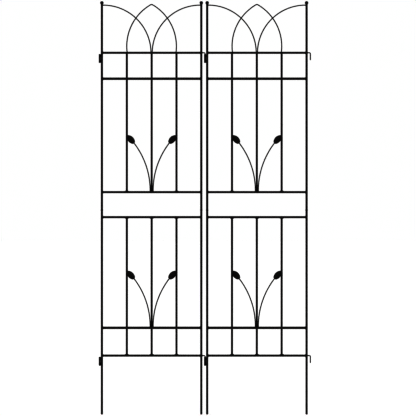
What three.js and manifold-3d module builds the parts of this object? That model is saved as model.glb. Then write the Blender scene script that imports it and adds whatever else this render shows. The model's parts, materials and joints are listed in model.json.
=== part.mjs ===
// A linked pair of flat garden trellis panels, welded from black powder-coated steel tube and wire.
//
// Units are millimetres. X runs along the pair, Y is the depth with the front at -Y, and Z is up.
// The origin is on the ground, under the middle of the pair's outer box.
//
// Each panel is made in two sections. The lower section stands on its two posts, whose top ends are
// reduced to spigots. The upper section's posts slip down over those spigots, and carry the pointed
// top and the ball finials. Every section has a short sleeve on its left post and a down-turned hook
// on its right post. The hooks of panel A hang in the sleeves of panel B, which makes the hinge.

import * as THREE from 'three';
import { mergeVertices } from 'three/addons/utils/BufferGeometryUtils.js';
import Module from 'manifold-3d';

const wasm = await Module();
wasm.setup();

// ---------- Driving dimensions ----------

const PANEL_HEIGHT = 1800;      // ground to the top of the ball finials
const POST_PITCH = 433;         // centre to centre of a panel's two posts
const BAR_PITCH = POST_PITCH / 4;

const GAP = 0.3;                // between two pieces that the welds or the fit bring together

// Tube and wire sections
const POST_RADIUS = 4.5;
const POST_WALL = 1;
const RAIL_RADIUS = 4.5;
const MAIN_RAIL_RADIUS = 5.25;
const RAIL_WALL = 0.9;
const BAR_RADIUS = 4.3;
const BAR_WALL = 0.9;
const WIRE_RADIUS = 2.25;

// Heights above the ground of the rail centres and of the seam between the sections
const UPPER_TOP_RAIL_Z = 1575;
const UPPER_MAIN_RAIL_Z = 1462;
const UPPER_BOTTOM_RAIL_Z = 968;
const SEAM_Z = 886;
const LOWER_TOP_RAIL_Z = 859;
const LOWER_MAIN_RAIL_Z = 377;
const LOWER_BOTTOM_RAIL_Z = 256;

// Post ends
const SPIGOT_RADIUS = POST_RADIUS - POST_WALL - GAP;
const SPIGOT_WALL = 0.8;
const SPIGOT_LENGTH = 38;
const SWAGE_LENGTH = 2;         // the taper from the full tube to the spigot
const FOOT_THICKNESS = 2;       // the disc that closes the foot
const BALL_RADIUS = 7.5;
const FINIAL_STEM_LENGTH = 14;
const FINIAL_CHAMFER = 0.6;

// The pointed top: quarter-circle arcs from the posts, and a pointed arch across them
const ARC_TOP_Z = 1783;
const ARCH_SPRING_Z = 1603;
const ARCH_APEX_Z = 1785;
const APEX_BEND_RADIUS = 9;
const FOOT_CLEARANCE = 0.6;     // under a wire's foot, whose square-cut end leans a little

// Leaf stems
const STEM_FOOT_RISE = 3.2;     // from the rail's centre to the foot, which rests on the rail's back edge
const STEM_STRAIGHT = 3;
const STEM_SPREAD = 77.8;       // from the middle of the panel to the base of the leaf
const STEM_RISE = 215.2;        // from the rail's centre to the base of the leaf
const STEM_FORWARD = 3;         // of the stem's centre in front of the bar's
const MIDRIB_LENGTH = 28;       // of the stem along the leaf
const LEAF_LENGTH = 44;
const LEAF_HALF_WIDTH = 13.2;
const LEAF_THICKNESS = 2;
const LEAF_LEAN = 42;           // degrees from upright

// Hinge hooks and sleeves
const SLEEVE_RADIUS = 4.3;
const SLEEVE_BORE_RADIUS = 3.4;
const SLEEVE_LENGTH = 37.5;
const SLEEVE_DROP = 6;          // from the hook arm's centre down to the sleeve's top rim
const HOOK_REACH = 16.5;        // from the post's centre to the hook's pin
const HOOK_BEND_RADIUS = 5;
const HOOK_DEPTH = 32;          // from the arm's centre down to the pin's tip

// Facets
const TUBE_SIDES = 16;
const SLEEVE_SIDES = 24;
const BALL_STEPS = 7;
const WIRE_SIDES = 10;
const PIN_SIDES = 16;
const ARC_STEPS = 16;
const ARCH_STEPS = 48;
const STEM_STEPS = 18;
const HOOK_STEPS = 16;
const LEAF_CURVE_STEPS = 8;

// ---------- Places worked out from them ----------

const SLEEVE_OFFSET = POST_RADIUS + GAP + SLEEVE_RADIUS;
const PANEL_PITCH = POST_PITCH + HOOK_REACH + SLEEVE_OFFSET;

// The pair reaches from the outside of panel A's sleeves to the outside of panel B's hooks.
const LEFT_OVERHANG = SLEEVE_OFFSET + SLEEVE_RADIUS;
const RIGHT_OVERHANG = HOOK_REACH + WIRE_RADIUS;
const PAIR_SHIFT = (LEFT_OVERHANG - RIGHT_OVERHANG) / 2;

// The rails lie against the front of the bars, and the posts are in the plane of the thin rails.
const RAIL_SETBACK = BAR_RADIUS + GAP + RAIL_RADIUS;
const FRONT_REACH = RAIL_SETBACK + BALL_RADIUS;
const BAR_Y = (FRONT_REACH - BAR_RADIUS) / 2;
const FRAME_Y = BAR_Y - RAIL_SETBACK;
const MAIN_RAIL_Y = BAR_Y - BAR_RADIUS - GAP - MAIN_RAIL_RADIUS;

// The arcs and the pointed arch lie in two planes, one wire apart, so that they cross side by side.
const ARC_Y = FRAME_Y + WIRE_RADIUS + GAP / 2;
const ARCH_Y = FRAME_Y - WIRE_RADIUS - GAP / 2;

// The stems stand against the middle bar, a little in front of it. The leaf lies on the stem's front,
// and its tip ends on the front of the outer bar.
const STEM_Y = BAR_Y - STEM_FORWARD;
const STEM_OFFSET = Math.sqrt((BAR_RADIUS + WIRE_RADIUS + GAP) ** 2 - STEM_FORWARD ** 2);
const LEAF_BACK_Y = BAR_Y - BAR_RADIUS - GAP;

// The ball sits on the post where its own section is as wide as the tube.
const BALL_CENTRE_ABOVE_SEAT = Math.sqrt(BALL_RADIUS ** 2 - POST_RADIUS ** 2);
const FINIAL_SEAT_Z = PANEL_HEIGHT - BALL_RADIUS - BALL_CENTRE_ABOVE_SEAT;

// ---------- Materials ----------

const blackCoat = { color: 0x1a1918, roughness: 0.42, metalness: 0.25 };
const wireCoat = { color: 0x1c1b19, roughness: 0.45, metalness: 0.25 };
const leafCoat = { color: 0x1e1d1b, roughness: 0.48, metalness: 0.2 };
const finialCoat = { color: 0x181716, roughness: 0.36, metalness: 0.3 };

// ---------- Building shapes ----------

// A solid of revolution about Z from [radius, height] pairs, listed upwards along the outside.
function turnedPiece(profile, sides) {
  const points = profile.map(([radius, height]) => new THREE.Vector2(radius, height));
  const geometry = new THREE.LatheGeometry(points, sides);
  return geometry.rotateX(Math.PI / 2);
}

function openTube(outerRadius, wall, length, sides) {
  const innerRadius = outerRadius - wall;
  const profile = [
    [outerRadius, 0],
    [outerRadius, length],
    [innerRadius, length],
    [innerRadius, 0],
    [outerRadius, 0],
  ];
  return turnedPiece(profile, sides);
}

// An arc in the XZ plane, from one angle to another, both measured from +X towards +Z.
class UprightArc extends THREE.Curve {
  constructor(centreX, centreZ, radius, startAngle, endAngle) {
    super();
    this.centre = new THREE.Vector3(centreX, 0, centreZ);
    this.radius = radius;
    this.startAngle = startAngle;
    this.endAngle = endAngle;
  }

  getPoint(t, target = new THREE.Vector3()) {
    const angle = this.startAngle + (this.endAngle - this.startAngle) * t;
    const spoke = new THREE.Vector3(Math.cos(angle), 0, Math.sin(angle));
    return target.copy(this.centre).addScaledVector(spoke, this.radius);
  }
}

function straightRun(start, end) {
  return new THREE.LineCurve3(start, end);
}

function joinedPath(...runs) {
  const path = new THREE.CurvePath();
  for (const run of runs) path.add(run);
  return path;
}

function bentWire(path, steps, sides) {
  const section = new THREE.Shape();
  section.absarc(0, 0, WIRE_RADIUS, 0, Math.PI * 2, false);
  return new THREE.ExtrudeGeometry(section, {
    steps,
    curveSegments: sides / 2,
    bevelEnabled: false,
    extrudePath: path,
  });
}

// Joins closed shapes that run into each other into one solid.
function weldedTogether(...geometries) {
  let whole = null;
  for (const geometry of geometries) {
    geometry.deleteAttribute('normal');
    geometry.deleteAttribute('uv');
    const merged = mergeVertices(geometry);
    const solid = new wasm.Manifold(new wasm.Mesh({
      numProp: 3,
      vertProperties: new Float32Array(merged.attributes.position.array),
      triVerts: new Uint32Array(merged.index.array),
    }));
    whole = whole ? whole.add(solid) : solid;
  }
  const mesh = whole.getMesh();
  const joined = new THREE.BufferGeometry();
  joined.setAttribute('position', new THREE.BufferAttribute(mesh.vertProperties, 3));
  joined.setIndex(new THREE.BufferAttribute(mesh.triVerts, 1));
  joined.computeVertexNormals();
  return joined;
}

function namedPiece(name, geometry, finish, x, y, z) {
  const piece = new THREE.Mesh(geometry, new THREE.MeshStandardMaterial(finish));
  piece.name = name;
  piece.position.set(x, y, z);
  return piece;
}

// ---------- Frame pieces ----------

function upperPost(name, x) {
  const bottom = SEAM_Z + GAP / 2;
  const tube = openTube(POST_RADIUS, POST_WALL, FINIAL_SEAT_Z - GAP - bottom, TUBE_SIDES);
  return namedPiece(name, tube, blackCoat, x, FRAME_Y, bottom);
}

function lowerPost(name, x) {
  const shoulder = SEAM_Z - GAP / 2;
  const tip = shoulder + SPIGOT_LENGTH;
  const bore = POST_RADIUS - POST_WALL;
  const spigotBore = SPIGOT_RADIUS - SPIGOT_WALL;
  const profile = [
    [0, 0],
    [POST_RADIUS, 0],
    [POST_RADIUS, shoulder],
    [SPIGOT_RADIUS, shoulder],
    [SPIGOT_RADIUS, tip],
    [spigotBore, tip],
    [spigotBore, shoulder - SWAGE_LENGTH / 2],
    [bore, shoulder - SWAGE_LENGTH * 2],
    [bore, FOOT_THICKNESS],
    [0, FOOT_THICKNESS],
  ];
  return namedPiece(name, turnedPiece(profile, TUBE_SIDES), blackCoat, x, FRAME_Y, 0);
}

function ballFinial(name, x) {
  const profile = [
    [0, -FINIAL_STEM_LENGTH],
    [SPIGOT_RADIUS - FINIAL_CHAMFER, -FINIAL_STEM_LENGTH],
    [SPIGOT_RADIUS, FINIAL_CHAMFER - FINIAL_STEM_LENGTH],
    [SPIGOT_RADIUS, 0],
  ];
  const seatAngle = -Math.asin(BALL_CENTRE_ABOVE_SEAT / BALL_RADIUS);
  for (let step = 0; step < BALL_STEPS; step++) {
    const angle = seatAngle + (Math.PI / 2 - seatAngle) * step / BALL_STEPS;
    profile.push([
      BALL_RADIUS * Math.cos(angle),
      BALL_CENTRE_ABOVE_SEAT + BALL_RADIUS * Math.sin(angle),
    ]);
  }
  profile.push([0, BALL_CENTRE_ABOVE_SEAT + BALL_RADIUS]);
  return namedPiece(name, turnedPiece(profile, TUBE_SIDES), finialCoat, x, FRAME_Y, FINIAL_SEAT_Z);
}

// A rail is butted between the posts.
function rail(name, radius, y, z) {
  const length = POST_PITCH - 2 * (POST_RADIUS + GAP);
  const tube = openTube(radius, RAIL_WALL, length, TUBE_SIDES);
  const piece = namedPiece(name, tube, blackCoat, -length / 2, y, z);
  piece.rotation.y = Math.PI / 2;
  return piece;
}

// A bar is lapped behind the rails, from the underside of the lowest to the top of the highest.
function bar(name, x, lowRailZ, highRailZ) {
  const bottom = lowRailZ - RAIL_RADIUS;
  const tube = openTube(BAR_RADIUS, BAR_WALL, highRailZ + RAIL_RADIUS - bottom, TUBE_SIDES);
  return namedPiece(name, tube, blackCoat, x, BAR_Y, bottom);
}

// ---------- Pointed top ----------

// A quarter circle from the inside of a post, level, down to the middle of the top rail.
// side is -1 for the arc that starts at the left post and 1 for the one at the right post.
function sideArc(name, side) {
  const radius = POST_PITCH / 2 - POST_RADIUS - GAP - WIRE_RADIUS - GAP / 2;
  const centreX = side * (POST_PITCH / 2 - POST_RADIUS - GAP);
  const centreZ = ARC_TOP_Z - radius;
  const footZ = UPPER_TOP_RAIL_Z + RAIL_RADIUS + FOOT_CLEARANCE;
  const footAngle = Math.asin((footZ - centreZ) / radius);
  const curve = side < 0
    ? new UprightArc(centreX, centreZ, radius, footAngle, Math.PI / 2)
    : new UprightArc(centreX, centreZ, radius, Math.PI - footAngle, Math.PI / 2);
  return namedPiece(name, bentWire(curve, ARC_STEPS, WIRE_SIDES), wireCoat, 0, ARC_Y, 0);
}

// One bent wire: two large arcs, springing above the outer bars, that meet in a small bend.
function pointedArch(name) {
  const halfSpan = BAR_PITCH;
  const bend = APEX_BEND_RADIUS;
  const bendRise = ARCH_APEX_Z - bend - ARCH_SPRING_Z;
  const radius = (bendRise ** 2 + halfSpan ** 2 - bend ** 2) / (2 * (halfSpan - bend));
  const centreOffset = radius - halfSpan;
  const footZ = UPPER_TOP_RAIL_Z + RAIL_RADIUS + FOOT_CLEARANCE;
  const footAngle = Math.asin((footZ - ARCH_SPRING_Z) / radius);
  const tangentAngle = Math.atan2(bendRise, -centreOffset);
  const leftArc = new UprightArc(centreOffset, ARCH_SPRING_Z, radius, Math.PI - footAngle, tangentAngle);
  const apexBend = new UprightArc(0, ARCH_APEX_Z - bend, bend, tangentAngle, Math.PI - tangentAngle);
  const rightArc = new UprightArc(-centreOffset, ARCH_SPRING_Z, radius, Math.PI - tangentAngle, footAngle);
  const path = joinedPath(leftArc, apexBend, rightArc);
  return namedPiece(name, bentWire(path, ARCH_STEPS, WIRE_SIDES), wireCoat, 0, ARCH_Y, 0);
}

// ---------- Leaf stems ----------

// The leaf blade, flat in the XZ plane, with its base at the origin and its pointed tip along +X.
// Its back face is at Y = 0. Two small lobes stand beside the stem, and the sides run in to the tip.
// Points are given as shares of the leaf's length, along it, and of its half width, across it.
function leafBlade() {
  const place = (along, across) => [along * LEAF_LENGTH, across * LEAF_HALF_WIDTH];
  const halfOutline = new THREE.Path();
  halfOutline.moveTo(...place(0.03, 0));
  halfOutline.lineTo(...place(-0.03, 0.5));
  halfOutline.bezierCurveTo(...place(0.03, 0.9), ...place(0.26, 1), ...place(0.44, 1));
  halfOutline.bezierCurveTo(...place(0.67, 1), ...place(0.86, 0.62), ...place(1, 0));

  const firstSide = halfOutline.getPoints(LEAF_CURVE_STEPS);
  const between = firstSide.slice(1, -1).reverse();
  const secondSide = between.map((point) => new THREE.Vector2(point.x, -point.y));
  const outline = new THREE.Shape([...firstSide, ...secondSide]);
  const blade = new THREE.ExtrudeGeometry(outline, {
    depth: LEAF_THICKNESS,
    steps: 1,
    bevelEnabled: false,
  });
  return blade.rotateX(Math.PI / 2);
}

// A wire that stands beside the middle bar, straight and then bent outwards, with a leaf on its end.
// side is -1 for the stem that leans left and 1 for the one that leans right.
function leafStem(name, side, railZ) {
  const bendHeight = STEM_RISE - STEM_FOOT_RISE - STEM_STRAIGHT;
  const bendSpread = STEM_SPREAD - STEM_OFFSET;
  const bendRadius = (bendHeight ** 2 + bendSpread ** 2) / (2 * bendSpread);
  const lean = Math.asin(bendHeight / bendRadius);
  const bendStart = new THREE.Vector3(0, 0, STEM_STRAIGHT);
  const startAngle = side > 0 ? Math.PI : 0;
  const endAngle = startAngle - side * lean;
  const bend = new UprightArc(side * bendRadius, STEM_STRAIGHT, bendRadius, startAngle, endAngle);
  const leafBase = bend.getPoint(1);
  const leafLean = THREE.MathUtils.degToRad(LEAF_LEAN);
  const along = new THREE.Vector3(side * Math.sin(leafLean), 0, Math.cos(leafLean));
  const midribEnd = leafBase.clone().addScaledVector(along, MIDRIB_LENGTH);
  const path = joinedPath(
    straightRun(new THREE.Vector3(0, 0, 0), bendStart), bend, straightRun(leafBase, midribEnd)
  );
  const wire = bentWire(path, STEM_STEPS, WIRE_SIDES);

  const blade = leafBlade();
  blade.rotateY(-Math.atan2(along.z, along.x));
  blade.translate(leafBase.x, LEAF_BACK_Y - STEM_Y, leafBase.z);
  const joined = weldedTogether(wire, blade);
  return namedPiece(name, joined, leafCoat, side * STEM_OFFSET, STEM_Y, railZ + STEM_FOOT_RISE);
}

// ---------- Hinge pieces ----------

// The rod leaves the post level with the rail, bends down and ends in the pin.
function hingeHook(name, postX, armZ) {
  const armEnd = HOOK_REACH - HOOK_BEND_RADIUS;
  const arm = straightRun(
    new THREE.Vector3(POST_RADIUS + GAP, 0, 0),
    new THREE.Vector3(armEnd, 0, 0)
  );
  const bend = new UprightArc(armEnd, -HOOK_BEND_RADIUS, HOOK_BEND_RADIUS, Math.PI / 2, 0);
  const pin = straightRun(
    new THREE.Vector3(HOOK_REACH, 0, -HOOK_BEND_RADIUS),
    new THREE.Vector3(HOOK_REACH, 0, -HOOK_DEPTH)
  );
  const rod = bentWire(joinedPath(arm, bend, pin), HOOK_STEPS, PIN_SIDES);
  return namedPiece(name, rod, blackCoat, postX, FRAME_Y, armZ);
}

function hingeSleeve(name, postX, armZ) {
  const wall = SLEEVE_RADIUS - SLEEVE_BORE_RADIUS;
  const tube = openTube(SLEEVE_RADIUS, wall, SLEEVE_LENGTH, SLEEVE_SIDES);
  const bottom = armZ - SLEEVE_DROP - SLEEVE_LENGTH;
  return namedPiece(name, tube, blackCoat, postX - SLEEVE_OFFSET, FRAME_Y, bottom);
}

// ---------- Sections and panels ----------

function barsBetween(prefix, lowRailZ, highRailZ) {
  return [
    bar(`${prefix}_bar_left`, -BAR_PITCH, lowRailZ, highRailZ),
    bar(`${prefix}_bar_middle`, 0, lowRailZ, highRailZ),
    bar(`${prefix}_bar_right`, BAR_PITCH, lowRailZ, highRailZ),
  ];
}

function upperSection(prefix) {
  const section = new THREE.Group();
  const leftX = -POST_PITCH / 2;
  const rightX = POST_PITCH / 2;
  section.add(
    upperPost(`${prefix}_post_left`, leftX),
    upperPost(`${prefix}_post_right`, rightX),
    ballFinial(`${prefix}_finial_left`, leftX),
    ballFinial(`${prefix}_finial_right`, rightX),
    rail(`${prefix}_rail_top`, RAIL_RADIUS, FRAME_Y, UPPER_TOP_RAIL_Z),
    rail(`${prefix}_rail_main`, MAIN_RAIL_RADIUS, MAIN_RAIL_Y, UPPER_MAIN_RAIL_Z),
    rail(`${prefix}_rail_bottom`, RAIL_RADIUS, FRAME_Y, UPPER_BOTTOM_RAIL_Z),
    ...barsBetween(prefix, UPPER_BOTTOM_RAIL_Z, UPPER_TOP_RAIL_Z),
    sideArc(`${prefix}_side_arc_left`, -1),
    sideArc(`${prefix}_side_arc_right`, 1),
    pointedArch(`${prefix}_pointed_arch`),
    leafStem(`${prefix}_leaf_stem_left`, -1, UPPER_BOTTOM_RAIL_Z),
    leafStem(`${prefix}_leaf_stem_right`, 1, UPPER_BOTTOM_RAIL_Z),
    hingeHook(`${prefix}_hook`, rightX, UPPER_TOP_RAIL_Z),
    hingeSleeve(`${prefix}_sleeve`, leftX, UPPER_TOP_RAIL_Z)
  );
  return section;
}

function lowerSection(prefix) {
  const section = new THREE.Group();
  const leftX = -POST_PITCH / 2;
  const rightX = POST_PITCH / 2;
  section.add(
    lowerPost(`${prefix}_post_left`, leftX),
    lowerPost(`${prefix}_post_right`, rightX),
    rail(`${prefix}_rail_top`, RAIL_RADIUS, FRAME_Y, LOWER_TOP_RAIL_Z),
    rail(`${prefix}_rail_main`, MAIN_RAIL_RADIUS, MAIN_RAIL_Y, LOWER_MAIN_RAIL_Z),
    rail(`${prefix}_rail_bottom`, RAIL_RADIUS, FRAME_Y, LOWER_BOTTOM_RAIL_Z),
    ...barsBetween(prefix, LOWER_BOTTOM_RAIL_Z, LOWER_TOP_RAIL_Z),
    leafStem(`${prefix}_leaf_stem_left`, -1, LOWER_MAIN_RAIL_Z),
    leafStem(`${prefix}_leaf_stem_right`, 1, LOWER_MAIN_RAIL_Z),
    hingeHook(`${prefix}_hook`, rightX, LOWER_BOTTOM_RAIL_Z),
    hingeSleeve(`${prefix}_sleeve`, leftX, LOWER_BOTTOM_RAIL_Z)
  );
  return section;
}

function panel(name, x) {
  const whole = new THREE.Group();
  whole.add(upperSection(`${name}_upper`), lowerSection(`${name}_lower`));
  whole.position.x = x;
  return whole;
}

const trellis = new THREE.Group();
trellis.add(
  panel('panel_a', PAIR_SHIFT - PANEL_PITCH / 2),
  panel('panel_b', PAIR_SHIFT + PANEL_PITCH / 2)
);

export default trellis;
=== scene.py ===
# %% [markdown]
# # Two linked trellis panels
# Each panel is a flat ladder of thin black steel tube. It stands in a flower bed and carries
# climbing plants. It is made in two sections: the upper one slips over spigots on the lower one.
# Hooks on one panel's post hang in sleeves on the next panel's, so a row can fold like a screen.
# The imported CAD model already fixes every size, place and joint. This script loads it as a frame
# and makes a finely modelled piece for each of its nodes, so the places below are all read from it.

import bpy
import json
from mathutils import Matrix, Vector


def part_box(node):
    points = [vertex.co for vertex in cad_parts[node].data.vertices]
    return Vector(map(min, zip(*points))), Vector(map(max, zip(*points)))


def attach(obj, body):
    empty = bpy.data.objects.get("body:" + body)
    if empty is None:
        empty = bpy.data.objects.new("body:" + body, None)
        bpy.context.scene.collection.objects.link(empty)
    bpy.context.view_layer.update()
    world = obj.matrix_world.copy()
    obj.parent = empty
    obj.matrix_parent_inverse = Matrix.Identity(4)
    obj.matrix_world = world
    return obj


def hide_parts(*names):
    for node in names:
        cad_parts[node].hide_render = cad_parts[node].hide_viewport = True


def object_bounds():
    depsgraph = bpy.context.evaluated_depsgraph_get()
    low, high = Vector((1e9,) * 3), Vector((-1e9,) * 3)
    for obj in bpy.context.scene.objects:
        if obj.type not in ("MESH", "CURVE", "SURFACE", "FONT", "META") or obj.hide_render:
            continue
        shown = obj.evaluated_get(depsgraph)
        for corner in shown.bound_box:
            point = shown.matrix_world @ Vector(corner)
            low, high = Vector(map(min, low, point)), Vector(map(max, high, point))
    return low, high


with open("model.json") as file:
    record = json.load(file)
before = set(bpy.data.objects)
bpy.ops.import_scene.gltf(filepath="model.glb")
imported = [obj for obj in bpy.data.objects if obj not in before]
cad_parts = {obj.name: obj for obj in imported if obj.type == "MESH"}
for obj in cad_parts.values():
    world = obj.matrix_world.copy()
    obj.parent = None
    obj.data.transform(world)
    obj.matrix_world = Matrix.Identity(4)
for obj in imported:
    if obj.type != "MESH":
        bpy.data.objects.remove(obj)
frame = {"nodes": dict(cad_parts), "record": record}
cad_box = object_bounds()
print("CAD box in metres:", [[round(value, 4) for value in corner] for corner in cad_box])

# %% [markdown]
# ## Units and places
# Blender works in metres. The radii and places that the pieces share are read from their nodes' boxes,
# so nothing has to be fitted. Both panels are alike, so each kind of piece is modelled on the first.

# %% Units and places
import json
import math

import bmesh
import bpy
from mathutils import Matrix, Vector

MM = 0.001
PANELS = ("panel_a", "panel_b")
SECTIONS = ("upper", "lower")
SIDES = {"left": -1, "right": 1}     # and which way along X each one lies
PANEL = PANELS[0]                    # each kind of piece is modelled here first
UPPER = f"{PANEL}_upper"
LOWER = f"{PANEL}_lower"


def middle(node):
    low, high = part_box(node)
    return (low + high) / 2


def half_size(node):
    low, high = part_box(node)
    return (high - low) / 2


POST_RADIUS = half_size(f"{UPPER}_post_left").x
RAIL_RADIUS = half_size(f"{UPPER}_rail_top").z
MAIN_RAIL_RADIUS = half_size(f"{UPPER}_rail_main").z
BAR_RADIUS = half_size(f"{UPPER}_bar_left").x
WIRE_RADIUS = half_size(f"{UPPER}_hook").y
FRAME_Y = middle(f"{UPPER}_post_left").y
BAR_Y = middle(f"{UPPER}_bar_left").y
PANEL_X = middle(f"{UPPER}_bar_middle").x
LEFT_POST_X = middle(f"{UPPER}_post_left").x
RIGHT_POST_X = middle(f"{UPPER}_post_right").x
print(f"post {POST_RADIUS / MM:.2f} mm, main rail {MAIN_RAIL_RADIUS / MM:.2f} mm in radius")

# %% [markdown]
# ## Shader maths as plain sums
# A finish is a formula: so much darker where the coat is thick, so much rougher where it is dusty.
# Nodes for such sums are slow to wire by hand, so a small class wraps a socket and turns the usual
# signs into Math nodes. Everything else comes from one method that sets a node up and links it.

# %% Node helpers
class Surface:
    """A value that changes over a surface: one socket of a node, usable in sums."""

    def __init__(self, wiring, socket):
        self.wiring = wiring
        self.socket = socket

    def sum_node(self, operation, first, second):
        return self.wiring.node("ShaderNodeMath", {"operation": operation}, {0: first, 1: second})

    def __add__(self, other):
        return self.sum_node("ADD", self, other)

    def __sub__(self, other):
        return self.sum_node("SUBTRACT", self, other)

    def __rsub__(self, other):
        return self.sum_node("SUBTRACT", other, self)

    def __mul__(self, other):
        return self.sum_node("MULTIPLY", self, other)

    __radd__ = __add__
    __rmul__ = __mul__

    def clamped(self):
        return self.wiring.node("ShaderNodeClamp", {}, {"Value": self})


class Wiring:
    """The node tree of a material or of the world, wired from nothing."""

    def __init__(self, owner):
        self.owner = owner
        owner.use_nodes = True
        owner.node_tree.nodes.clear()

    def node(self, kind, settings, sockets, output=0):
        """Adds a node, sets it up, fills or links its sockets, and gives back one of its outputs."""
        made = self.owner.node_tree.nodes.new(kind)
        for name, value in settings.items():
            setattr(made, name, value)
        for name, value in sockets.items():
            if isinstance(value, Surface):
                self.owner.node_tree.links.new(value.socket, made.inputs[name])
            else:
                made.inputs[name].default_value = value
        return Surface(self, made.outputs[output]) if made.outputs else None


print("node helpers ready")

# %% [markdown]
# ## Studio
# A long lens from far off draws upright tubes nearly parallel, as a catalogue view does. A wide or a
# near one would spread the posts apart and show one side of each.

# %% Camera
LENS = 150.0
SENSOR = 36.0
FRAME_MARGIN = 1.0071                # picture height as a share of the object's height
CAMERA_RIGHT = 13.7 * MM             # the object stands a little left of the picture's middle
CAMERA_DROP = 1.1 * MM
CAMERA_SIGHT = 100.0                 # metres

low_corner = Vector(cad_box[0])
high_corner = Vector(cad_box[1])
object_height = high_corner.z - low_corner.z
camera_distance = object_height * FRAME_MARGIN * LENS / SENSOR
camera_data = bpy.data.cameras.new("camera")
camera_data.lens = LENS
camera_data.sensor_width = SENSOR
camera_data.clip_end = CAMERA_SIGHT
camera = bpy.data.objects.new("camera", camera_data)
bpy.context.scene.collection.objects.link(camera)
camera.location = ((low_corner.x + high_corner.x) / 2 + CAMERA_RIGHT,
                   -camera_distance, object_height / 2 - CAMERA_DROP)
camera.rotation_euler = (math.radians(90), 0, 0)
bpy.context.scene.camera = camera
print(f"camera {camera_distance:.2f} m in front")

# %% [markdown]
# ### Floor
# The floor is a wide disc of milky sheet that glows evenly from below, like a light table for small
# products. A sheet that is only lit from above would show the thin shadows of dozens of tubes.

# %% Floor
FLOOR_RADIUS = 40.0
FLOOR_SIDES = 96
FLOOR_GREY = 0.22
FLOOR_GLOW = 0.80
FLOOR_ROUGHNESS = 0.9


def make_floor():
    bpy.ops.object.select_all(action="DESELECT")
    bpy.ops.mesh.primitive_circle_add(vertices=FLOOR_SIDES, radius=FLOOR_RADIUS, fill_type="NGON")
    floor = bpy.context.object
    floor.name = "floor"
    milky = Wiring(bpy.data.materials.new("milky_sheet"))
    sheet = milky.node("ShaderNodeBsdfPrincipled", {}, {
        "Base Color": (FLOOR_GREY, FLOOR_GREY, FLOOR_GREY, 1),
        "Roughness": FLOOR_ROUGHNESS,
        "Specular IOR Level": 0.0,
        "Emission Color": (1, 1, 1, 1),
        "Emission Strength": FLOOR_GLOW,
    })
    milky.node("ShaderNodeOutputMaterial", {}, {"Surface": sheet})
    floor.data.materials.append(milky.owner)


make_floor()
print(f"floor {2 * FLOOR_RADIUS:.0f} m across")

# %% [markdown]
# ### Room
# The backdrop is an evenly white world. It shows itself to the camera at full strength and gives the
# steel only a fraction of that: thin black tube in an all-white room would turn grey.

# %% Room
WORLD_TO_CAMERA = 1.0
WORLD_TO_STEEL = 0.14


def light_room():
    world = bpy.data.worlds.new("white_room")
    bpy.context.scene.world = world
    room = Wiring(world)
    seen = room.node("ShaderNodeLightPath", {}, {}, "Is Camera Ray")
    strength = WORLD_TO_STEEL + seen * (WORLD_TO_CAMERA - WORLD_TO_STEEL)
    glow = room.node("ShaderNodeBackground", {}, {"Color": (1, 1, 1, 1), "Strength": strength})
    room.node("ShaderNodeOutputWorld", {}, {"Surface": glow})


light_room()
print(f"the room gives the steel {WORLD_TO_STEEL / WORLD_TO_CAMERA:.0%} of what the camera sees")

# %% [markdown]
# ### Lamps
# Three broad lamps overhead leave no side dark. Three softboxes, at both sides and behind, put a soft
# line of light along each tube, which is what shows that it is round.

# %% Lamps
SUN_SPREAD = math.radians(60)
SUN_STRENGTH = 1.0
SUN_TILT = math.radians(24)
SUN_COUNT = 3
SOFTBOXES = {                        # place, width and height in metres, and power in watts
    "left_softbox": ((-2.6, -1.5, 1.3), (0.9, 2.2), 10),
    "right_softbox": ((2.8, -1.2, 1.2), (0.6, 2.0), 5),
    "back_softbox": ((0.8, 2.6, 2.0), (1.6, 1.2), 8),
}
VIEW_GAMMA = 0.46                    # a hard, catalogue-like contrast


def add_sun(turn):
    """A broad, even light from above, tilted a little and turned about the upright."""
    data = bpy.data.lights.new("overhead", "SUN")
    data.energy = SUN_STRENGTH
    data.angle = SUN_SPREAD
    sun = bpy.data.objects.new("overhead", data)
    sun.rotation_euler = (SUN_TILT, 0, turn)
    bpy.context.scene.collection.objects.link(sun)


def add_softbox(name, place, size, power):
    """A rectangular lamp that faces the middle of the panels."""
    data = bpy.data.lights.new(name, "AREA")
    data.shape = "RECTANGLE"
    data.size, data.size_y = size
    data.energy = power
    lamp = bpy.data.objects.new(name, data)
    lamp.location = place
    aim = Vector((0, 0, object_height / 2)) - Vector(place)
    lamp.rotation_euler = aim.to_track_quat("-Z", "Y").to_euler()
    bpy.context.scene.collection.objects.link(lamp)


for step in range(SUN_COUNT):
    add_sun(2 * math.pi * step / SUN_COUNT)
for name, (place, size, power) in SOFTBOXES.items():
    add_softbox(name, place, size, power)
view = bpy.context.scene.view_settings
view.view_transform = "Standard"
view.gamma = VIEW_GAMMA
print("lamps:", SUN_COUNT, "overhead and", len(SOFTBOXES), "softboxes")

# %% [markdown]
# ## Black powder coat
# The whole trellis is coated in one go: dry paint powder clings to the charged steel and melts in an
# oven. It ends up satin, almost black and slightly warm, with the fine waviness that painters call
# orange peel. Four scales make it believable: soft clouds a hand wide, streaks a finger wide, the
# orange peel a millimetre or two across, and a finer grain inside it. A "rub" attribute says where
# steel has rubbed on steel, so that the coat can be thin there.

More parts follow.
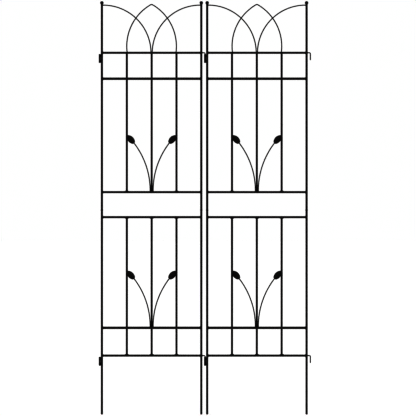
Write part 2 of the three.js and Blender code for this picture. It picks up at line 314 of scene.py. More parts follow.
# %% The coats
BARE_STEEL = (0.30, 0.29, 0.28, 1)
STEEL_METALLIC = 0.85
COAT_SPECULAR = 0.42
WARM_BLACK = (1.10, 1.00, 0.90)      # red, green and blue as shares of the coat's tone
NOISES = {                           # ripples a metre, and how many finer layers lie on them
    "cloud": (9.0, 4.0),
    "streak": (60.0, 3.0),
    "orange_peel": (620.0, 1.5),
    "grain": (2600.0, 2.0),
    "scratch": (900.0, 3.0),
}
CLOUD_SHARE = 0.55                   # of the tone
STREAK_SHARE = 0.30
GRAIN_SHARE = 0.15
TONE_EDGE = 3.0                      # how sharply the tone goes from dark to light
TONE_SWING = 0.25
CLOUD_GLOSS = 0.10                   # how far each moves the roughness
GRAIN_GLOSS = 0.12
WEAR_GLOSS = 0.08
SCRATCH_SHARE = 0.9                  # how ragged the worn patches' edges are
WEAR_EDGE = 5.0
WEAR_DEPTH = 0.5                     # of the peel's depth
GRAIN_IN_PEEL = 0.25
PEEL_DEPTH = 0.02 * MM
MIX_SHARE, MIX_FIRST, MIX_SECOND = 0, 6, 7    # a Mix node's sockets when it mixes colours
MIX_COLOUR = 2                       # its colour output
COATS = {                            # mean grey, middle roughness and strength of the bump
    "tube": (0.0098, 0.46, 0.55),
    "wire": (0.0101, 0.47, 0.50),
    # the leaves share the tubes' coat; their grey is nearly twice as light as painted sheen, for the
    # light their flat faces reflect
    "leaf": (0.0180, 0.50, 0.70),
    "finial": (0.0085, 0.46, 0.40),
    "hinge": (0.0098, 0.46, 0.55),
    "weld": (0.0135, 0.52, 0.90),
}


def powder_coat(piece_kind):
    tone, roughness, peel = COATS[piece_kind]
    coat = Wiring(bpy.data.materials.new(f"{piece_kind}_powder_coat"))
    place = coat.node("ShaderNodeTexCoord", {}, {}, "Object")

    def noise(name):
        scale, detail = NOISES[name]
        return coat.node("ShaderNodeTexNoise", {}, {"Vector": place, "Scale": scale, "Detail": detail})

    def mixed(share, first, second):
        sockets = {MIX_SHARE: share, MIX_FIRST: first, MIX_SECOND: second}
        return coat.node("ShaderNodeMix", {"data_type": "RGBA"}, sockets, MIX_COLOUR)

    cloud, streak, orange_peel, grain, scratch = [noise(name) for name in NOISES]
    rub = coat.node("ShaderNodeAttribute", {"attribute_name": "rub"}, {}, "Fac")
    worn = ((rub + (scratch - 0.5) * SCRATCH_SHARE - 0.5) * WEAR_EDGE).clamped()
    light = (cloud * CLOUD_SHARE + streak * STREAK_SHARE + grain * GRAIN_SHARE - 0.5) * TONE_EDGE + 0.5
    darkest = (*(tone * (1 - TONE_SWING) * part for part in WARM_BLACK), 1)
    lightest = (*(tone * (1 + TONE_SWING) * part for part in WARM_BLACK), 1)
    colour = mixed(light.clamped(), darkest, lightest)
    height = (1 - GRAIN_IN_PEEL) * orange_peel + GRAIN_IN_PEEL * grain - WEAR_DEPTH * worn
    gloss = (cloud - 0.5) * CLOUD_GLOSS + (grain - 0.5) * GRAIN_GLOSS - worn * WEAR_GLOSS
    bump = {"Height": height, "Strength": peel, "Distance": PEEL_DEPTH}
    shader = coat.node("ShaderNodeBsdfPrincipled", {}, {
        "Base Color": mixed(worn, colour, BARE_STEEL),
        "Roughness": roughness + gloss,
        "Metallic": worn * STEEL_METALLIC,
        "Specular IOR Level": COAT_SPECULAR,
        "Normal": coat.node("ShaderNodeBump", {}, bump),
    })
    coat.node("ShaderNodeOutputMaterial", {}, {"Surface": shader})
    return coat.owner


coats = {f"{piece_kind}_coat": powder_coat(piece_kind) for piece_kind in COATS}
print("coats:", ", ".join(coats))

# %% [markdown]
# ## Ways of working
# Each piece starts as a primitive, is shaped in edit mode and ends with its place in its mesh. The
# helpers below are the habits of that work: start clean, pick points by their place, push them where
# a weight says, and close the surface at the end.

# %% Starting, picking and closing
MERGE_DISTANCE = 0.01 * MM
TURNED_CREASE = 40                   # degrees: a sharper edge than this shows as a crease


def start_clean():
    if bpy.context.mode != "OBJECT":
        bpy.ops.object.mode_set(mode="OBJECT")
    bpy.ops.object.select_all(action="DESELECT")


def begin_edit(name):
    """Takes the new primitive by name, puts its place and turn into its mesh and opens it."""
    piece = bpy.context.object
    piece.name = name
    piece.data.name = name
    bpy.ops.object.transform_apply(location=True, rotation=True, scale=True)
    bpy.ops.object.mode_set(mode="EDIT")
    return piece


def pick(test):
    """Selects the points whose place passes a test, and nothing else."""
    bpy.ops.mesh.select_mode(type="VERT")
    bpy.ops.mesh.select_all(action="DESELECT")
    mesh = bpy.context.object.data
    shape = bmesh.from_edit_mesh(mesh)
    for point in shape.verts:
        point.select_set(test(point.co))
    shape.select_flush(True)
    bmesh.update_edit_mesh(mesh)


def close_up(crease=TURNED_CREASE):
    """Merges doubled points, turns every face outwards and shades what is round smooth."""
    piece = bpy.context.object
    bpy.ops.object.mode_set(mode="EDIT")
    bpy.ops.mesh.select_all(action="SELECT")
    bpy.ops.mesh.remove_doubles(threshold=MERGE_DISTANCE)
    bpy.ops.mesh.normals_make_consistent(inside=False)
    if bmesh.from_edit_mesh(piece.data).calc_volume(signed=True) < 0:
        bpy.ops.mesh.flip_normals()
    bpy.ops.object.mode_set(mode="OBJECT")
    bpy.ops.object.shade_smooth_by_angle(angle=math.radians(crease))
    return piece


def finish_modifier(piece, modifier):
    bpy.context.view_layer.objects.active = piece
    bpy.ops.object.modifier_apply(modifier=modifier.name)


def push(piece, direction, distance, weight):
    """Moves points along X, Y, Z or NORMAL by distance times a weight from 0 to 1 of their place."""
    group = piece.vertex_groups.new(name="push")
    for point in piece.data.vertices:
        share = min(max(weight(point.co), 0.0), 1.0)
        group.add([point.index], share, "REPLACE")
    modifier = piece.modifiers.new("push", "DISPLACE")
    modifier.direction = direction
    modifier.strength = distance
    modifier.mid_level = 0
    modifier.vertex_group = group.name
    finish_modifier(piece, modifier)
    piece.vertex_groups.clear()


def mark_rub(piece, amount):
    """Writes the rub attribute: 0 where the coat is whole, 1 where it has rubbed off."""
    layer = piece.data.attributes.new("rub", "FLOAT", "POINT")
    for point in piece.data.vertices:
        layer.data[point.index].value = min(max(amount(point.co), 0.0), 1.0)


print("work habits ready")

# %% [markdown]
# ## From one piece to all of its kind
# Both panels are alike, and so are the pieces within them. A piece is modelled once, at the place of
# the first node of its kind. Its copies get meshes of their own and move by the distance between the
# two nodes' boxes. Each copy then rides on its node's body and stands for that node.

# %% Copies
body_of = {node: body for body, nodes in frame["record"]["behaviour"]["bodies"].items() for node in nodes}
slot_of = {part["node"]: part["material_slot"] for part in frame["record"]["subparts"]}
made_pieces = []


def copy_piece(piece, name, move):
    copy = piece.copy()
    copy.data = piece.data.copy()
    copy.name = name
    copy.data.name = name
    copy.data.transform(move)
    bpy.context.scene.collection.objects.link(copy)
    return copy


def turned_about(axis, degrees):
    return Matrix.Rotation(math.radians(degrees), 4, axis)


def at(x, y, z, turn=Matrix()):
    return Matrix.Translation((x, y, z)) @ turn


def shift_between(first, node):
    return at(*(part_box(node)[0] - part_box(first)[0]))


def hand_over(piece, body, coat):
    """Lets the piece ride on its body and paints it."""
    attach(piece, body)
    piece.data.materials.clear()
    piece.data.materials.append(coats[coat])
    made_pieces.append(piece)


def nodes_ending(*endings):
    return sorted(node for node in frame["nodes"] if node.endswith(endings))


def dress(template, first, endings, ending):
    """Puts a copy of the template in the place of each such node, and removes the template."""
    nodes = nodes_ending(*endings)
    for node in nodes:
        piece = copy_piece(template, f"{node}_{ending}", shift_between(first, node))
        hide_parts(node)
        hand_over(piece, body_of[node], slot_of[node])
    print(f"{ending}: {len(nodes)} pieces of {len(template.data.polygons)} faces")
    bpy.data.objects.remove(template)


# %% [markdown]
# ## Turned pieces
# Posts, spigots, ball finials and sleeves are all round about an upright axis. As on a lathe, half a
# section is drawn with a pen, which is a single point pushed from corner to corner, and spun once
# round. Where the section starts or ends on the axis the spin closes the piece by itself.

# %% Lathe
LATHE_STEPS = 40
PEN_SIZE = 1 * MM


def turned(name, x, y, profile, steps=LATHE_STEPS):
    """Spins (radius, height) corners about the upright line through x, y."""
    start_clean()
    radius, height = profile[0]
    bpy.ops.mesh.primitive_plane_add(size=PEN_SIZE, location=(x + radius, y, height))
    begin_edit(name)
    bpy.ops.mesh.merge(type="CENTER")
    for here, corner in zip(profile, profile[1:]):
        step = (corner[0] - here[0], 0, corner[1] - here[1])
        bpy.ops.mesh.extrude_region_move(TRANSFORM_OT_translate={"value": step})
    bpy.ops.mesh.select_all(action="SELECT")
    bpy.ops.mesh.spin(steps=steps, angle=2 * math.pi, center=(x, y, 0), axis=(0, 0, 1))
    return close_up()


def rounded(radius, height, corner, steps=4):
    """The quarter round of a top outer edge, from its outside to its top, as (radius, height)."""
    points = []
    for step in range(steps + 1):
        angle = math.radians(90) * step / steps
        points.append((radius - corner + corner * math.cos(angle),
                       height - corner + corner * math.sin(angle)))
    return points


print("lathe:", LATHE_STEPS, "steps a turn")

# %% [markdown]
# ## Upper posts
# The upper post is an open tube. Its lower end is swelled a little so that it starts easily over the
# spigot below, which shows as a thin ring at the seam. A cylinder would do for the tube, but not for
# the swelled lip and the bore, so it is turned from a drawn section.

# %% Upper posts
POST_WALL = 1.0 * MM
LIP_SWELL = 0.55 * MM
LIP_HEIGHT = 5.0 * MM
LIP_TAPER = 3.0 * MM
LIP_SHOULDER = (0.4, 0.5)            # a point of the taper, as shares of its swell and height
EDGE = 0.35 * MM


def upper_post(node):
    low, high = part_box(node)
    place = middle(node)
    bore = POST_RADIUS - POST_WALL
    lip = POST_RADIUS + LIP_SWELL
    swell, rise = LIP_SHOULDER
    profile = [
        (bore, low.z + EDGE),
        (bore + EDGE, low.z),
        (lip - EDGE, low.z),
        (lip, low.z + EDGE),
        (lip, low.z + LIP_HEIGHT),
        (POST_RADIUS + LIP_SWELL * swell, low.z + LIP_HEIGHT + LIP_TAPER * rise),
        (POST_RADIUS, low.z + LIP_HEIGHT + LIP_TAPER),
        (POST_RADIUS, high.z - EDGE),
        (POST_RADIUS - EDGE, high.z),
        (bore, high.z),
        (bore, low.z + EDGE),
    ]
    return turned("upper_post", place.x, place.y, profile)


first = f"{UPPER}_post_left"
dress(upper_post(first), first, ("upper_post_left", "upper_post_right"), "tube")

# %% [markdown]
# ## Lower posts
# The top of the lower post is drawn down to a spigot with a bore of its own, and the foot is closed
# by a welded plug so that soil stays out. Both ends are rounded where a hand or a stone would meet
# them. The spigot has rubbed bright where the upper section slides over it.

# %% Lower posts
SPIGOT_CLEARANCE = 0.3 * MM
SPIGOT_RADIUS = POST_RADIUS - POST_WALL - SPIGOT_CLEARANCE
SPIGOT_WALL = 0.8 * MM
FOOT_ROUND = 1.2 * MM
SEAM_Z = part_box(f"{UPPER}_post_left")[0].z - SPIGOT_CLEARANCE
RUB_REACH = 6.0 * MM
SPIGOT_RUB = 0.62


def lower_post(node):
    low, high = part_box(node)
    place = middle(node)
    spigot_bore = SPIGOT_RADIUS - SPIGOT_WALL
    foot = [(radius, 2 * low.z + FOOT_ROUND - height)
            for radius, height in rounded(POST_RADIUS, low.z + FOOT_ROUND, FOOT_ROUND)]
    profile = [(0, low.z), *reversed(foot)]
    profile += rounded(POST_RADIUS, SEAM_Z, EDGE * 2)
    profile += [
        (SPIGOT_RADIUS + EDGE, SEAM_Z),
        (SPIGOT_RADIUS, SEAM_Z + EDGE),
        (SPIGOT_RADIUS, high.z - 2 * EDGE),
        (SPIGOT_RADIUS - EDGE, high.z),
        (spigot_bore, high.z),
        (spigot_bore, SEAM_Z),
        (0, SEAM_Z - EDGE),
    ]
    post = turned("lower_post", place.x, place.y, profile)
    mark_rub(post, lambda point: SPIGOT_RUB if point.z > SEAM_Z + RUB_REACH else 0.0)
    return post


first = f"{LOWER}_post_left"
dress(lower_post(first), first, ("lower_post_left", "lower_post_right"), "tube")

# %% [markdown]
# ## Ball finials
# A solid ball with a short stem is pushed into the top of each post and welded round. The ball meets
# the tube where its own section is as wide, so there is no ledge. It is turned like the posts, with
# the stem as the start of the drawn section.

# %% Ball finials
BALL_STEPS = 20
BALL_RADIUS = half_size(f"{UPPER}_finial_left").x


def ball_finial(node):
    low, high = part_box(node)
    place = middle(node)
    ball_z = high.z - BALL_RADIUS
    neck_angle = -math.acos(POST_RADIUS / BALL_RADIUS)
    neck_z = ball_z + BALL_RADIUS * math.sin(neck_angle)
    profile = [
        (0, low.z),
        (SPIGOT_RADIUS - 2 * EDGE, low.z),
        (SPIGOT_RADIUS, low.z + 2 * EDGE),
        (SPIGOT_RADIUS, neck_z),
    ]
    for step in range(BALL_STEPS):
        angle = neck_angle + (math.pi / 2 - neck_angle) * step / BALL_STEPS
        profile.append((BALL_RADIUS * math.cos(angle), ball_z + BALL_RADIUS * math.sin(angle)))
    profile.append((0, high.z))
    return turned("ball_finial", place.x, place.y, profile)


first = f"{UPPER}_finial_left"
dress(ball_finial(first), first, ("finial_left", "finial_right"), "ball")

# %% [markdown]
# ## Rails
# A rail is a level tube between the posts. Its ends are coped, which means cut to the post's own
# curve, so that tube lies against tube and the weld has little to fill. A cylinder is run almost to
# the posts' axes, and a Boolean with two post-sized cylinders copes its ends.

# %% Rails
RAIL_SIDES = 48
AXIS_STOP = 1.6 * MM                 # the rail's tips stop this far short of the post's axis
CUTTER_LENGTH = 40 * MM
SAWN_CREASE = 30


def post_cutter(x, z):
    start_clean()
    bpy.ops.mesh.primitive_cylinder_add(vertices=RAIL_SIDES, radius=POST_RADIUS, depth=CUTTER_LENGTH,
                                        location=(x, FRAME_Y, z))
    bpy.ops.object.transform_apply(location=True, rotation=True, scale=True)
    return bpy.context.object


def coped_rail(node):
    place = middle(node)
    radius = half_size(node).z
    length = RIGHT_POST_X - LEFT_POST_X - 2 * AXIS_STOP
    cutters = [post_cutter(x, place.z) for x in (LEFT_POST_X, RIGHT_POST_X)]
    start_clean()
    bpy.ops.mesh.primitive_cylinder_add(vertices=RAIL_SIDES, radius=radius, depth=length,
                                        location=place, rotation=(0, math.radians(90), 0))
    rail = begin_edit("rail")
    bpy.ops.object.mode_set(mode="OBJECT")
    for cutter in cutters:
        cope = rail.modifiers.new("cope", "BOOLEAN")
        cope.operation = "DIFFERENCE"
        cope.solver = "EXACT"
        cope.object = cutter
        finish_modifier(rail, cope)
        bpy.data.objects.remove(cutter)
    return close_up(SAWN_CREASE)


first = f"{UPPER}_rail_top"
dress(coped_rail(first), first, ("rail_top", "rail_bottom"), "tube")
first = f"{UPPER}_rail_main"
dress(coped_rail(first), first, ("rail_main",), "tube")

# %% [markdown]
# ## Bars
# Three upright bars are lapped behind the rails of each section. A bar's ends are sawn square and
# capped, with the sharp edge taken off. Both end caps are inset and sunk a hair, which leaves the
# tube's rim standing round the cap, and the rim is bevelled.

# %% Bars
BARS = ("left", "middle", "right")
BAR_SIDES = 40
CAP_RIM = 0.8 * MM
CAP_DEPTH = 0.5 * MM
BEVEL_STEPS = 2


def capped_bar(node):
    low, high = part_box(node)
    place = middle(node)
    start_clean()
    bpy.ops.mesh.primitive_cylinder_add(vertices=BAR_SIDES, radius=BAR_RADIUS, depth=high.z - low.z,
                                        location=place)
    begin_edit("bar")
    for end_z, sink in ((low.z, CAP_DEPTH), (high.z, -CAP_DEPTH)):
        pick(lambda point: abs(point.z - end_z) < MERGE_DISTANCE)
        bpy.ops.mesh.bevel(offset=EDGE, segments=BEVEL_STEPS, affect="EDGES")
        pick(lambda point: abs(point.z - end_z) < MERGE_DISTANCE)
        bpy.ops.mesh.inset(thickness=CAP_RIM)
        bpy.ops.transform.translate(value=(0, 0, sink))
    return close_up(SAWN_CREASE)


for section in SECTIONS:
    first = f"{PANEL}_{section}_bar_left"
    endings = [f"{section}_bar_{place}" for place in BARS]
    dress(capped_bar(first), first, endings, "tube")

# %% [markdown]
# ## Bent wire
# The arcs, the pointed arch, the leaf stems and the hinge hooks are all bent from one rod, and every
# bend lies flat in an upright plane. So a bender is enough: it holds the rod's free end, pushes it
# straight on by an extrude, or swings it round a centre by a spin. The solid grows as the real rod is
# bent, and it is closed at both ends from the start.

# %% Wire bender
WIRE_SIDES = 16
TIP_ROUND = 0.6 * MM
TIP_STEPS = ((0.6, 0.9), (0.4, 0.75))     # shares of the tip's length, and how far each one narrows


class WireBender:
    """Holds the free end of a wire. Headings are in degrees from +X towards +Z."""

    def __init__(self, name, start, heading):
        start_clean()
        turn = math.radians(90 - heading)
        bpy.ops.mesh.primitive_circle_add(vertices=WIRE_SIDES, radius=WIRE_RADIUS, fill_type="NGON",
                                          location=start, rotation=(0, turn, 0))
        begin_edit(name)
        bpy.ops.mesh.select_all(action="SELECT")
        self.end = Vector(start)
        self.heading = heading

    def ahead(self):
        angle = math.radians(self.heading)
        return Vector((math.cos(angle), 0, math.sin(angle)))

    def straight(self, length, narrowing=1.0):
        move = self.ahead() * length
        bpy.ops.mesh.extrude_region_move(TRANSFORM_OT_translate={"value": move})
        self.end += move
        if narrowing != 1.0:
            bpy.ops.transform.resize(value=(narrowing, narrowing, narrowing))

    def bend(self, radius, degrees, steps):
        """Positive degrees turn the heading from +X towards +Z."""
        side = math.copysign(1, degrees)
        left = Vector((-self.ahead().z, 0, self.ahead().x))
        centre = self.end + left * side * radius
        bpy.ops.mesh.spin(steps=steps, angle=math.radians(degrees), center=centre, axis=(0, 1, 0))
        turn = Matrix.Rotation(-math.radians(degrees), 3, "Y")
        self.end = centre + turn @ (self.end - centre)
        self.heading += degrees

    def cut(self):
        """Rounds the free end off and closes the surface."""
        for share, narrowing in TIP_STEPS:
            self.straight(TIP_ROUND * share, narrowing)
        return close_up()


print("wire bender ready:", WIRE_SIDES, "sides")

# %% [markdown]
# ## Side arcs
# A quarter circle of wire springs from the middle of the top rail and ends level on the post, just
# under the ball. Its foot is sunk into the rail's top, and its far end into the post's side, because
# a weld joins them there. The two arcs of a panel are mirror images, so each is bent for itself.

# %% Side arcs
ARC_STEPS = 40
SINK = 1.0 * MM                      # how far a welded wire runs into what it is welded to


def arc_shape(side):
    """Centre and radius of a side arc, from its node's box."""
    node = f"{UPPER}_side_arc_{side}"
    low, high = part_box(node)
    radius = high.x - low.x - WIRE_RADIUS
    centre_x = low.x if side == "left" else high.x
    return Vector((centre_x, middle(node).y, high.z - WIRE_RADIUS - radius)), radius


def wire_foot_z(y):
    """Height of the top rail's surface under a wire in the plane of that y, less the sink."""
    rail = middle(f"{UPPER}_rail_top")
    return rail.z + math.sqrt(RAIL_RADIUS ** 2 - (y - rail.y) ** 2) - SINK


def arc_foot(side):
    """Where a side arc's wire enters the rail."""
    centre, radius = arc_shape(side)
    rise = wire_foot_z(centre.y) - centre.z
    return centre + Vector((-SIDES[side] * math.sqrt(radius ** 2 - rise ** 2), 0, rise))


def side_arc(side):
    centre, radius = arc_shape(side)
    foot = arc_foot(side)
    toward = SIDES[side]
    foot_angle = math.degrees(math.asin((foot.z - centre.z) / radius))
    wire = WireBender("side_arc", foot, 90 - toward * foot_angle)
    wire.bend(radius, -toward * (90 - foot_angle), ARC_STEPS)
    wire.straight(SINK)
    return wire.cut()


for side in SIDES:
    dress(side_arc(side), f"{UPPER}_side_arc_{side}", (f"side_arc_{side}",), "wire")

# %% [markdown]
# ## Pointed arch
# One wire makes the pointed arch. It leaves the top rail over an outer bar, sweeps in on a large arc,
# turns over a small former at the apex and comes down the same way. Its shape follows from its half
# span, the height of its springing and the bend at the apex, so it is worked out and not guessed.

# %% Pointed arch
ARCH_STEPS = 44
APEX_STEPS = 14
APEX_BEND = 9 * MM
SPRING_ABOVE_RAIL = 28 * MM


def arch_shape():
    """The two large arcs' radius, how far their centres are past the middle, and the springing."""
    node = f"{UPPER}_pointed_arch"
    half_span = half_size(node).x - WIRE_RADIUS
    apex_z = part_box(node)[1].z - WIRE_RADIUS
    spring_z = middle(f"{UPPER}_rail_top").z + SPRING_ABOVE_RAIL
    rise = apex_z - APEX_BEND - spring_z
    radius = (rise ** 2 + half_span ** 2 - APEX_BEND ** 2) / (2 * (half_span - APEX_BEND))
    return radius, radius - half_span, spring_z, rise


def arch_foot(side):
    """Where the pointed arch's wire enters the rail on that side."""
    radius, offset, spring_z, rise = arch_shape()
    y = middle(f"{UPPER}_pointed_arch").y
    foot_z = wire_foot_z(y)
    half_width = math.sqrt(radius ** 2 - (spring_z - foot_z) ** 2) - offset
    return Vector((PANEL_X + SIDES[side] * half_width, y, foot_z))


def pointed_arch():
    radius, offset, spring_z, rise = arch_shape()
    foot = arch_foot("left")
    foot_angle = math.degrees(math.asin((spring_z - foot.z) / radius))
    sweep_end = math.degrees(math.atan2(rise, offset))
    wire = WireBender("pointed_arch", foot, 90 + foot_angle)
    wire.bend(radius, -(foot_angle + sweep_end), ARCH_STEPS)
    wire.bend(APEX_BEND, -(180 - 2 * sweep_end), APEX_STEPS)
    wire.bend(radius, -(foot_angle + sweep_end), ARCH_STEPS)
    return wire.cut()


dress(pointed_arch(), f"{UPPER}_pointed_arch", ("pointed_arch",), "wire")

# %% [markdown]
# ## Leaf stems
# A stem stands against the middle bar and leans out in one long bend, almost from its foot. Its end
# is straightened along the back of the leaf as a midrib and hammered thin. The bend's radius follows
# from how far it reaches out and up.

# %% Leaf stems
STEM_STRAIGHT = 3 * MM
STEM_REACH = 77.8 * MM               # from the panel's middle to the base of the leaf
STEM_RISE = 215.2 * MM               # from the rail's middle to the base of the leaf
STEM_STEPS = 40
LEAF_LEAN = 42                       # degrees from upright
MIDRIB_BEND = 22 * MM                # radius of the last small bend, into the midrib
MIDRIB_LENGTH = 33 * MM
MIDRIB_BEND_STEPS = 2
MIDRIB_STEPS = 8
MIDRIB_NARROWING = 0.95


def stem_foot(side):
    """Where the stem stands against the middle bar."""
    low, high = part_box(f"{UPPER}_leaf_stem_{side}")
    inner_x = low.x if side == "right" else high.x
    return Vector((inner_x + SIDES[side] * WIRE_RADIUS, high.y - WIRE_RADIUS, low.z))


def leaf_base(side):
    rail_z = middle(f"{UPPER}_rail_bottom").z
    return Vector((PANEL_X + SIDES[side] * STEM_REACH, stem_foot(side).y, rail_z + STEM_RISE))


def leaf_stem(side):
    foot = stem_foot(side)
    base = leaf_base(side)
    toward = SIDES[side]
    rail_z = middle(f"{UPPER}_rail_bottom").z
    rise = base.z - foot.z - STEM_STRAIGHT
    reach = abs(base.x - foot.x)
    radius = (rise ** 2 + reach ** 2) / (2 * reach)
    lean = math.degrees(math.asin(rise / radius))
    wire = WireBender("leaf_stem", (foot.x, foot.y, rail_z), 90)
    wire.straight(foot.z + STEM_STRAIGHT - rail_z)
    wire.bend(radius, -toward * lean, STEM_STEPS)
    wire.bend(MIDRIB_BEND, -toward * (LEAF_LEAN - lean), MIDRIB_BEND_STEPS)
    for step in range(MIDRIB_STEPS):
        wire.straight(MIDRIB_LENGTH / MIDRIB_STEPS, MIDRIB_NARROWING)
    return wire.cut()


for side in SIDES:
    dress(leaf_stem(side), f"{UPPER}_leaf_stem_{side}", (f"leaf_stem_{side}",), "wire")

# %% [markdown]
# ## Leaves
# Each leaf is stamped from thin sheet: two small lobes beside the stem, egg-shaped sides and a blunt
# point that lies on the outer bar. The press also cups it and lines it with veins. So it starts as a
# flat grid. Each row is narrowed to the outline, pushes with painted weights cup it and press the
# veins in, and Solidify and Bevel give the sheet its thickness and soft edge.

# %% Leaves
LEAF_LENGTH = 44 * MM
LEAF_HALF_WIDTH = 13.2 * MM
LEAF_SHEET = 1.2 * MM
LEAF_ROWS = 56
LEAF_COLUMNS = 22
ROW_DIGITS = 6                       # rows are told apart to the micrometre
WIDEST = 0.44                        # share of the length
BASE_WIDTH = 0.52                    # share of the half width
TIP_WIDTH = 0.03
BASE_FULLNESS = 0.8                  # powers: the smaller, the fuller the outline
TIP_FULLNESS = 0.85
LOBE_FULLNESS = 1.2
LOBE_HEIGHT = 0.3                    # share of the length
LOBE_DROP = 2.0 * MM
CUP_DEPTH = 3.2 * MM
BULGE = 0.5 * MM
VEIN_DEPTH = 0.7 * MM
VEIN_SPACING = 7.0 * MM
VEIN_RISE = 0.85                     # how far a vein climbs for each step outwards
SIDE_VEIN_SHARE = 0.75               # of the midrib's depth
PLAIN_MARGIN = 4                     # a power: the larger, the nearer the veins come to the edge
MIDRIB_HALF_WIDTH = 1.3 * MM
LEAF_EDGE = 0.25 * MM
LEAF_CREASE = 50


def leaf_width(share):
    """The leaf's half width, as a share of its widest, at a share of its length."""
    if share < WIDEST:
        rise = math.sin(math.pi / 2 * (share / WIDEST) ** BASE_FULLNESS)
        return BASE_WIDTH + (1 - BASE_WIDTH) * rise
    past = min((share - WIDEST) / (1 - WIDEST), 1)
    return TIP_WIDTH + (1 - TIP_WIDTH) * (1 - past ** 2) ** TIP_FULLNESS


def lobe(point):
    """Drops the base either side of the stem, and less and less further up."""
    across = abs(point.x) / (BASE_WIDTH * LEAF_HALF_WIDTH)
    fade = max(0.0, 1 - point.z / (LOBE_HEIGHT * LEAF_LENGTH)) ** 2
    return math.sin(math.pi * min(across, 1)) ** LOBE_FULLNESS * fade


def vein(point):
    midrib = math.exp(-(point.x / MIDRIB_HALF_WIDTH) ** 2)
    phase = (point.z - VEIN_RISE * abs(point.x)) / VEIN_SPACING
    side_vein = max(0.0, math.cos(2 * math.pi * phase)) ** 2
    margin = 1 - (abs(point.x) / LEAF_HALF_WIDTH) ** PLAIN_MARGIN
    return max(midrib, SIDE_VEIN_SHARE * side_vein * margin)


def stamped_leaf():
    start_clean()
    bpy.ops.mesh.primitive_grid_add(x_subdivisions=LEAF_COLUMNS, y_subdivisions=LEAF_ROWS, size=1,
                                    location=(0, 0, 0.5), rotation=(math.radians(90), 0, 0))
    leaf = begin_edit("stamped_leaf")
    bpy.ops.transform.resize(value=(2 * LEAF_HALF_WIDTH, 1, LEAF_LENGTH), center_override=(0, 0, 0))
    rows = {round(point.co.z, ROW_DIGITS) for point in bmesh.from_edit_mesh(leaf.data).verts}
    for row in sorted(rows):
        pick(lambda point: abs(point.z - row) < 2 * MERGE_DISTANCE)
        width = leaf_width(row / LEAF_LENGTH)
        bpy.ops.transform.resize(value=(width, 1, 1), center_override=(0, 0, row))
    bpy.ops.object.mode_set(mode="OBJECT")
    push(leaf, "Y", VEIN_DEPTH, vein)
    push(leaf, "Y", -CUP_DEPTH, lambda point: (point.x / LEAF_HALF_WIDTH) ** 2)
    push(leaf, "Y", -BULGE, lambda point: math.sin(math.pi * point.z / LEAF_LENGTH))
    push(leaf, "Z", -LOBE_DROP, lobe)
    sheet = leaf.modifiers.new("sheet", "SOLIDIFY")
    sheet.thickness = LEAF_SHEET
    sheet.offset = 1
    finish_modifier(leaf, sheet)
    edge = leaf.modifiers.new("edge", "BEVEL")
    edge.width = LEAF_EDGE
    edge.segments = BEVEL_STEPS
    edge.limit_method = "ANGLE"
    edge.angle_limit = math.radians(LEAF_CREASE)
    finish_modifier(leaf, edge)
    return close_up(LEAF_CREASE)


def place_leaves(leaf):
    back_y = BAR_Y - BAR_RADIUS - SPIGOT_CLEARANCE
    for side, toward in SIDES.items():
        base = leaf_base(side)
        stand = at(base.x, back_y, base.z, turned_about("Y", toward * LEAF_LEAN))
        first = f"{UPPER}_leaf_stem_{side}"
        for node in nodes_ending(f"leaf_stem_{side}"):
            name = node.replace("leaf_stem", "leaf") + "_blade"
            piece = copy_piece(leaf, name, shift_between(first, node) @ stand)
            hand_over(piece, body_of[node], "leaf_coat")
    print("leaves of", len(leaf.data.polygons), "faces")
    bpy.data.objects.remove(leaf)


place_leaves(stamped_leaf())

# %% [markdown]
# ## Hinge hooks and sleeves
# A hook is a rod welded to the right post. It comes out level with a rail, bends down and ends in the
# pin. A sleeve is a short tube welded beside the left post, and the next panel's pin hangs in it with
# some play. The coat wears first where the two turn on each other: on the pin and round the rims.

# %% Hinge hooks and sleeves
HOOK_BEND = 5 * MM
HOOK_STEPS = 10
PIN_STEPS = 2
PIN_RUB = 0.42
SLEEVE_WALL = 0.9 * MM
SLEEVE_EDGE = 0.28 * MM
RIM_RUB = 0.4


def hinge_hook(node):
    low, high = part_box(node)
    arm_z = high.z - WIRE_RADIUS
    pin_x = high.x - WIRE_RADIUS
    start_x = RIGHT_POST_X + POST_RADIUS - SINK
    wire = WireBender("hinge_hook", (start_x, FRAME_Y, arm_z), 0)
    wire.straight(pin_x - HOOK_BEND - start_x)
    wire.bend(HOOK_BEND, -90, HOOK_STEPS)
    for step in range(PIN_STEPS):
        wire.straight((arm_z - HOOK_BEND - low.z - TIP_ROUND) / PIN_STEPS)
    hook = wire.cut()
    pin_top = arm_z - 2 * HOOK_BEND
    mark_rub(hook, lambda point: PIN_RUB if point.z < pin_top else 0.0)
    return hook


def hinge_sleeve(node):
    low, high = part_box(node)
    place = middle(node)
    outside = half_size(node).x
    bore = outside - SLEEVE_WALL
    profile = [
        (bore, low.z + SLEEVE_EDGE),
        (bore + SLEEVE_EDGE, low.z),
        (outside - SLEEVE_EDGE, low.z),
        (outside, low.z + SLEEVE_EDGE),
        (outside, high.z - SLEEVE_EDGE),
        (outside - SLEEVE_EDGE, high.z),
        (bore + SLEEVE_EDGE, high.z),
        (bore, high.z - SLEEVE_EDGE),
        (bore, low.z + SLEEVE_EDGE),
    ]
    sleeve = turned("hinge_sleeve", place.x, place.y, profile)
    mark_rub(sleeve, lambda point: RIM_RUB if point.z > high.z - SLEEVE_EDGE / 2 else 0.0)
    return sleeve


first = f"{UPPER}_hook"
dress(hinge_hook(first), first, ("hook",), "rod")
first = f"{UPPER}_sleeve"
dress(hinge_sleeve(first), first, ("sleeve",), "tube")

# %% [markdown]
# ## Weld beads
# Everything on a section is held by small welds, painted over with the rest. They are what tells a
# welded frame from a drawing of one, so they are made as pieces. Three shapes cover them all: a saddle
# round a coped rail, a short rippled run, and a collar round a wire's foot. They are small and many,
# so each has at most about two hundred faces. The beads of one kind on one section become one piece.

